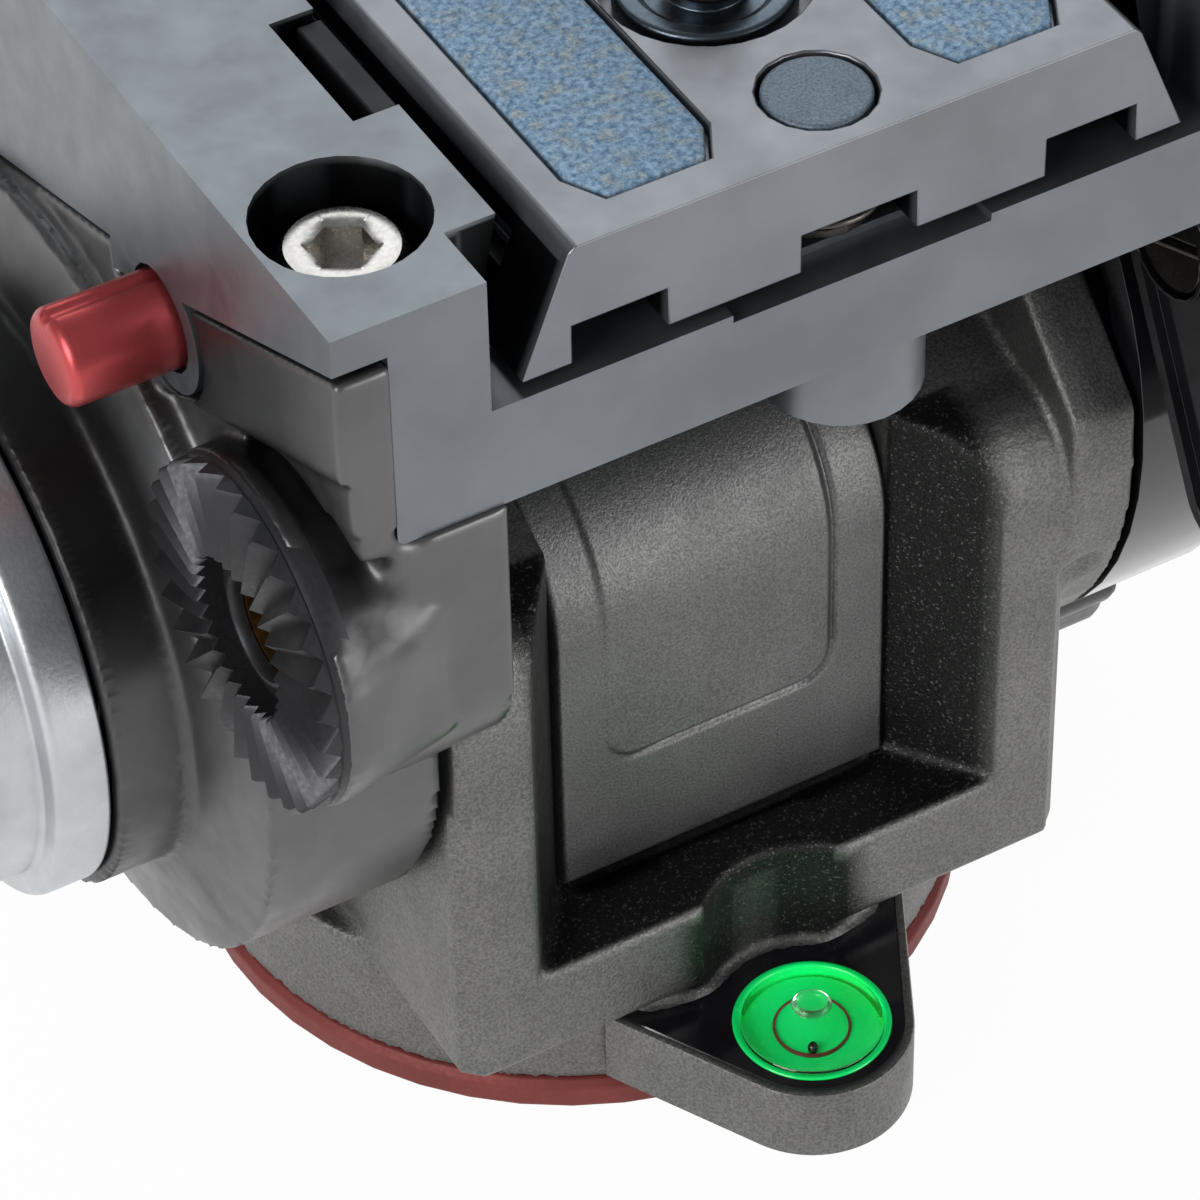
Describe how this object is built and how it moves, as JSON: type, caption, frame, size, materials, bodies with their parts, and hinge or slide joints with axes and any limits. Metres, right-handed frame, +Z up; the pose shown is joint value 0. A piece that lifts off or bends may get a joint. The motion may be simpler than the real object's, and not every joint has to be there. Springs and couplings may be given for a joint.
{
  "type": "fluid video head",
  "caption": "Fluid video head with a pan base, two side drums, a tilting receiver and a sliding camera plate with a bubble level at the rear.",
  "frame": {"origin": "middle of the head's footprint on the tripod's face, at the underside of the base plate", "axes": "+Z up along the pan axis, +X to the operator's right along the tilt axis, +Y forward to the lens"},
  "size_m": [0.116, 0.094, 0.1037],
  "materials": {
    "red_anodised": "satin anodised",
    "steel": "machined",
    "dark_steel": "dark machined",
    "bronze": "machined",
    "brass": "machined",
    "grained_casting": "grained matt",
    "fine_casting": "fine grained matt",
    "satin_casting": "satin",
    "plate_satin": "satin",
    "silver": "fine matt silver",
    "gloss_black": "glossy",
    "gloss_black_casting": "glossy",
    "black_plastic": "matt",
    "rubber_pad": "mottled matt",
    "green_vial": "clear over green",
    "red_button": "satin anodised",
    "blue_pin": "satin"
  },
  "bodies": {
    "base": {"base_plate": "red_anodised", "tripod_socket": "steel", "pan_spindle": "steel", "base_screw_1": "dark_steel", "base_screw_2": "dark_steel", "base_screw_3": "dark_steel", "pan_thrust_washer": "bronze", "spindle_washer": "steel", "spindle_nut": "steel"},
    "pan": {"pan_body": "grained_casting", "rear_panel": "fine_casting", "vial_plate": "gloss_black", "vial": "green_vial", "pan_bush": "bronze", "pan_drag_disc": "dark_steel", "tilt_bush_left": "bronze", "tilt_bush_right": "bronze", "tilt_drag_stator": "steel", "pan_brake_pad": "black_plastic"},
    "pan_lock": {"pan_lock_stud": "steel", "pan_lock_knob": "black_plastic"},
    "tilt_frame": {"left_cheek": "satin_casting", "right_cheek": "gloss_black_casting", "tilt_axle": "steel", "tilt_drag_rotor": "steel", "counterbalance_spring": "dark_steel", "left_cap": "silver", "right_cap": "black_plastic", "rosette": "fine_casting", "rosette_insert": "brass", "receiver": "satin_casting", "receiver_screw_1": "steel", "receiver_screw_2": "steel", "receiver_screw_3": "steel", "receiver_screw_4": "steel", "tilt_lock_screw": "dark_steel", "button_spring": "dark_steel"},
    "lock_lever": {"tilt_lock_lever": "gloss_black"},
    "plate_lock": {"plate_lock_stud": "steel", "plate_lock_knob": "black_plastic"},
    "jaw": {"clamp_jaw": "steel"},
    "button": {"safety_button": "red_button"},
    "catch": {"safety_catch": "steel"},
    "plate": {"slide_plate": "plate_satin", "pad_left": "rubber_pad", "pad_right": "rubber_pad", "pin_seat": "dark_steel", "pin_spring": "dark_steel"},
    "camera_screw": {"camera_screw": "dark_steel"},
    "pin": {"anti_twist_pin": "blue_pin"}
  },
  "joints": [
    {"name": "pan_turn", "type": "hinge", "parent": "base", "child": "pan", "pos_m": [0, -0.00285, 0], "axis": [0, 0, 1], "continuous": true},
    {"name": "pan_lock_turn", "type": "hinge", "parent": "pan", "child": "pan_lock", "pos_m": [0, -0.00285, 0.0084], "axis": [1, 0, 0], "range_deg": [0, 360]},
    {"name": "tilt", "type": "hinge", "parent": "pan", "child": "tilt_frame", "pos_m": [0, -0.00285, 0.0488], "axis": [1, 0, 0], "range_deg": [-80, 60]},
    {"name": "tilt_lock_swing", "type": "hinge", "parent": "tilt_frame", "child": "lock_lever", "pos_m": [0.0345, -0.03445, 0.0694], "axis": [1, 0, 0], "range_deg": [-50, 0]},
    {"name": "plate_lock_turn", "type": "hinge", "parent": "tilt_frame", "child": "plate_lock", "pos_m": [0.045, -0.00185, 0.0926], "axis": [1, 0, 0], "range_deg": [-180, 0]},
    {"name": "jaw_slide", "type": "slide", "parent": "tilt_frame", "child": "jaw", "axis": [-1, 0, 0], "range_m": [0, 0.0005]},
    {"name": "button_press", "type": "slide", "parent": "tilt_frame", "child": "button", "axis": [1, 0, 0], "range_m": [0, 0.002], "stiffness_N_per_m": 400, "springref_m": -0.0015, "deforming": ["button_spring"]},
    {"name": "catch_slide", "type": "slide", "parent": "tilt_frame", "child": "catch", "axis": [-1, 0, 0], "range_m": [0, 0.0014]},
    {"name": "plate_slide", "type": "slide", "parent": "tilt_frame", "child": "plate", "axis": [0, 1, 0], "range_m": [-0.035, 0.0143]},
    {"name": "camera_screw_turn", "type": "hinge", "parent": "plate", "child": "camera_screw", "pos_m": [0, -0.02425, 0.094], "axis": [0, 0, 1], "continuous": true},
    {"name": "pin_press", "type": "slide", "parent": "plate", "child": "pin", "axis": [0, 0, -1], "range_m": [0, 0.002], "stiffness_N_per_m": 500, "springref_m": -0.0015, "deforming": ["pin_spring"]}
  ],
  "couplings": [
    {"joint": "plate_lock_turn", "follows": "jaw_slide", "rad_per_m": -6283},
    {"joint": "catch_slide", "follows": "button_press", "ratio": 0.7}
  ]
}
